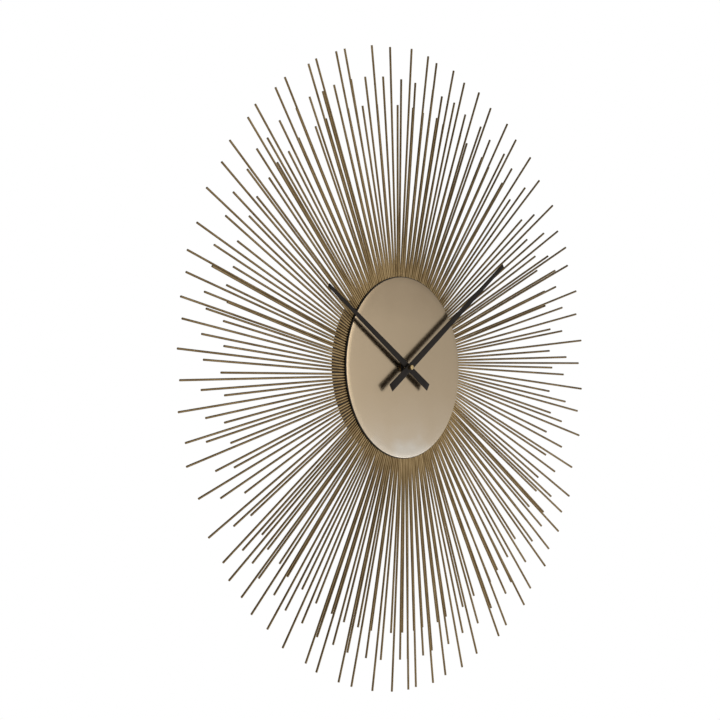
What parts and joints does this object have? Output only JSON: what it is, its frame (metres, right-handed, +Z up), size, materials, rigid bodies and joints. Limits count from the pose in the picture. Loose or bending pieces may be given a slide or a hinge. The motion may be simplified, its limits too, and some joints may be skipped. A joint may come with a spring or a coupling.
{
  "type": "sunburst wall clock",
  "caption": "Round wall clock with thin rods fanned out in three lengths round a shallow drum, plain dial, two hands and a quartz movement.",
  "frame": {"origin": "on the dial's axis, in the plane of the wall behind the drum", "axes": "+Z up, dial faces -Y, +Y into the wall, +X to the viewer's right"},
  "size_m": [0.9011, 0.0408, 0.9023],
  "materials": {
    "black_steel": "black powder coat",
    "braze": "rough brazed metal",
    "dial_brass": "satin antique brass",
    "rod_brass": "drawn antique brass",
    "turned_steel": "turned",
    "screw_steel": "zinc plated",
    "turned_brass": "turned",
    "black_rubber": "matt",
    "black_washer": "blackened",
    "case_plastic": "moulded, fine texture",
    "bridge_plastic": "natural moulding",
    "wheel_plastic": "natural acetal",
    "motor_iron": "stamped lamination",
    "copper_wire": "enamelled copper",
    "board_green": "solder mask",
    "chip_black": "epoxy drop",
    "crystal_metal": "drawn can",
    "spring_steel": "nickel plated",
    "hand_black": "satin black, lacquered",
    "magnet_grey": "sintered",
    "battery_jacket": "printed jacket without lettering"
  },
  "bodies": {
    "root": {"rear_pan": "black_steel", "rod_ring": "black_steel", "braze_ring": "braze", "front_plate": "black_steel", "dial": "dial_brass", "spacer_posts": "turned_steel", "post_screws": "screw_steel", "long_rods": "rod_brass", "medium_rods": "rod_brass", "short_rods": "rod_brass", "centre_bush": "turned_brass", "rubber_gasket": "black_rubber", "washer": "black_washer", "fixing_nut": "black_washer", "front_case": "case_plastic", "rear_case": "case_plastic", "gear_bridge": "bridge_plastic", "stator": "motor_iron", "coil_core": "motor_iron", "coil_bobbin": "bridge_plastic", "coil_winding": "copper_wire", "circuit_board": "board_green", "driver_chip": "chip_black", "crystal_can": "crystal_metal", "positive_contact": "spring_steel", "negative_contact": "spring_steel"},
    "minute": {"minute_arbor": "turned_brass", "centre_wheel": "wheel_plastic", "minute_hand": "hand_black", "cap_nut": "turned_brass"},
    "hour": {"hour_wheel": "wheel_plastic", "hour_collet": "turned_brass", "hour_hand": "hand_black"},
    "motion": {"motion_wheel": "wheel_plastic"},
    "third": {"third_wheel": "wheel_plastic"},
    "second": {"second_wheel": "wheel_plastic"},
    "step": {"step_wheel": "wheel_plastic"},
    "rotor": {"rotor_pinion": "wheel_plastic", "rotor_magnet": "magnet_grey"},
    "knob": {"setting_knob": "case_plastic"},
    "battery_body": {"battery": "battery_jacket"}
  },
  "joints": [
    {"name": "minute_spin", "type": "hinge", "parent": "root", "child": "minute", "pos_m": [0, -0.0343, 0], "axis": [0, 1, 0], "continuous": true},
    {"name": "hour_spin", "type": "hinge", "parent": "root", "child": "hour", "pos_m": [0, -0.0318, 0], "axis": [0, 1, 0], "continuous": true},
    {"name": "motion_spin", "type": "hinge", "parent": "root", "child": "motion", "pos_m": [0.00827, -0.0163, -0.00146], "axis": [0, 1, 0], "continuous": true},
    {"name": "knob_spin", "type": "hinge", "parent": "root", "child": "knob", "pos_m": [0.01617, -0.0027, 0.00141], "axis": [0, 1, 0], "continuous": true},
    {"name": "third_spin", "type": "hinge", "parent": "root", "child": "third", "pos_m": [-0.00883, -0.013, 0.0051], "axis": [0, 1, 0], "continuous": true},
    {"name": "second_spin", "type": "hinge", "parent": "root", "child": "second", "pos_m": [-0.0065, -0.011, 0.01379], "axis": [0, 1, 0], "continuous": true},
    {"name": "step_spin", "type": "hinge", "parent": "root", "child": "step", "pos_m": [0.00225, -0.0095, 0.01379], "axis": [0, 1, 0], "continuous": true},
    {"name": "rotor_spin", "type": "hinge", "parent": "root", "child": "rotor", "pos_m": [0.00825, -0.01, 0.01379], "axis": [0, 1, 0], "continuous": true},
    {"name": "battery_slide", "type": "slide", "parent": "root", "child": "battery_body", "axis": [0, 1, 0], "range_m": [0, 0.02]}
  ],
  "couplings": [
    {"joint": "hour_spin", "follows": "minute_spin", "ratio": 0.083333},
    {"joint": "motion_spin", "follows": "minute_spin", "ratio": -0.33333},
    {"joint": "knob_spin", "follows": "minute_spin", "ratio": 1},
    {"joint": "third_spin", "follows": "minute_spin", "ratio": -7.5},
    {"joint": "second_spin", "follows": "minute_spin", "ratio": 60},
    {"joint": "step_spin", "follows": "minute_spin", "ratio": -360},
    {"joint": "rotor_spin", "follows": "minute_spin", "ratio": 1800}
  ]
}
